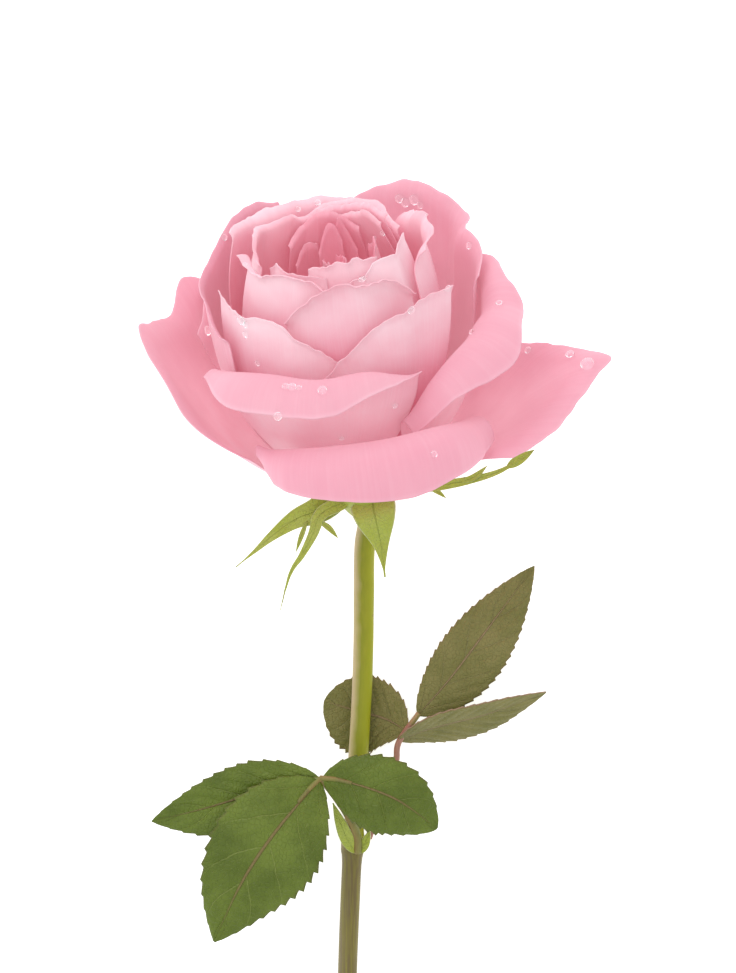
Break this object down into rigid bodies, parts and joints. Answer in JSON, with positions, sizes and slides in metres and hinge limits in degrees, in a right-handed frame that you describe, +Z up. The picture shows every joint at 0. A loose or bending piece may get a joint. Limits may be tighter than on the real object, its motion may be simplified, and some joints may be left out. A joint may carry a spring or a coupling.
{
  "type": "cut rose",
  "caption": "Open double rose lying on its back petals, with sepals, a cut stem and two compound leaves, for vases, bouquets and still lifes.",
  "frame": {"origin": "middle of the bounding box on the surface that the rose lies on", "axes": "+Y along the rose from its cut end to its bloom, +Z up from the surface, +X to the right seen from above with the bloom at the top"},
  "size_m": [0.1106, 0.2329, 0.0759],
  "materials": {
    "petal": "satin, soft pink, paler at the outer face",
    "heart_petal": "satin, deeper pink towards the middle",
    "sepal": "matt yellow-green with a pale rim",
    "stem": "smooth green skin, tan-pink on one side",
    "leaf_green": "slightly glossy green with pale veins",
    "leaf_olive": "matt olive with reddish midribs",
    "water": "clear dew drops on the petals' faces"
  },
  "bodies": {
    "root": {"outer_petal_1": "petal", "outer_petal_2": "petal", "outer_petal_3": "petal", "outer_petal_4": "petal", "outer_petal_5": "petal", "outer_petal_6": "petal", "outer_petal_7": "petal", "outer_petal_8": "petal", "outer_petal_9": "petal", "outer_petal_10": "petal", "cup_petal_1": "petal", "cup_petal_2": "petal", "cup_petal_3": "petal", "cup_petal_4": "petal", "cup_petal_5": "petal", "heart_petal_1": "heart_petal", "heart_petal_2": "heart_petal", "heart_petal_3": "heart_petal", "heart_petal_4": "heart_petal", "heart_petal_5": "heart_petal", "heart_petal_6": "heart_petal", "heart_petal_7": "heart_petal", "heart_petal_8": "heart_petal", "heart_petal_9": "heart_petal", "heart_petal_10": "heart_petal", "heart_petal_11": "heart_petal", "heart_petal_12": "heart_petal", "heart_petal_13": "heart_petal", "heart_petal_14": "heart_petal", "calyx": "sepal", "stem": "stem", "leaf_front": "leaf_green", "leaf_back": "leaf_olive"}
  },
  "joints": []
}
